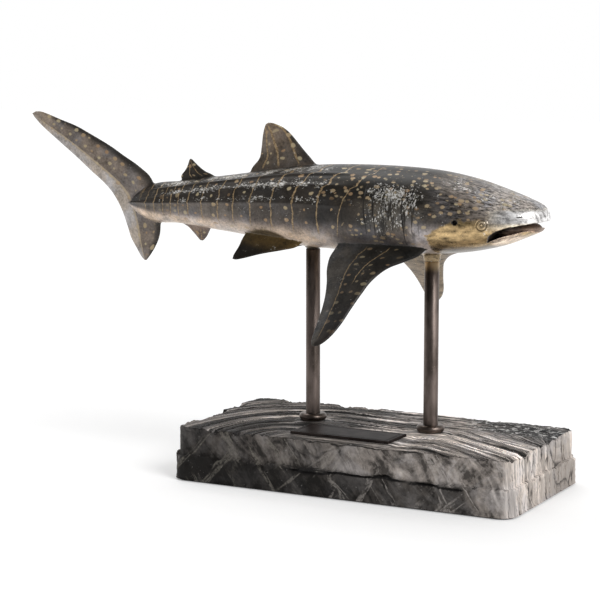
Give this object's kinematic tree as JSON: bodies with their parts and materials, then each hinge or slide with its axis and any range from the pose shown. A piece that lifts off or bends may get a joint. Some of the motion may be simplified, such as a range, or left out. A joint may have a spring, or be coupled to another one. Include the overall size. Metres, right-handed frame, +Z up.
{
  "type": "shark figurine",
  "caption": "Cast bronze whale shark mounted on round posts above a two-tier carved stone base with a bare plaque.",
  "frame": {"origin": "middle of the base's underside, on the face of the felt pad", "axes": "+X along the base towards the shark's head, +Y to the shark's left, +Z up"},
  "size_m": [0.6597, 0.2867, 0.4019],
  "materials": {
    "patinated_bronze": "black-brown patina with gilt stripes and spots, polished golden belly and lower face",
    "dark_bronze": "satin dark brown patina",
    "veined_stone": "carved black, grey and white veined marble",
    "plaque_metal": "dark satin plate with engraved border",
    "felt": "black felt",
    "plated_steel": "zinc plated"
  },
  "bodies": {
    "root": {"shark_casting": "patinated_bronze", "front_post": "dark_bronze", "rear_post": "dark_bronze", "front_collar": "dark_bronze", "rear_collar": "dark_bronze", "stone_base": "veined_stone", "plaque": "plaque_metal", "felt_pad": "felt", "front_washer": "plated_steel", "rear_washer": "plated_steel", "front_nut": "plated_steel", "rear_nut": "plated_steel"}
  },
  "joints": []
}
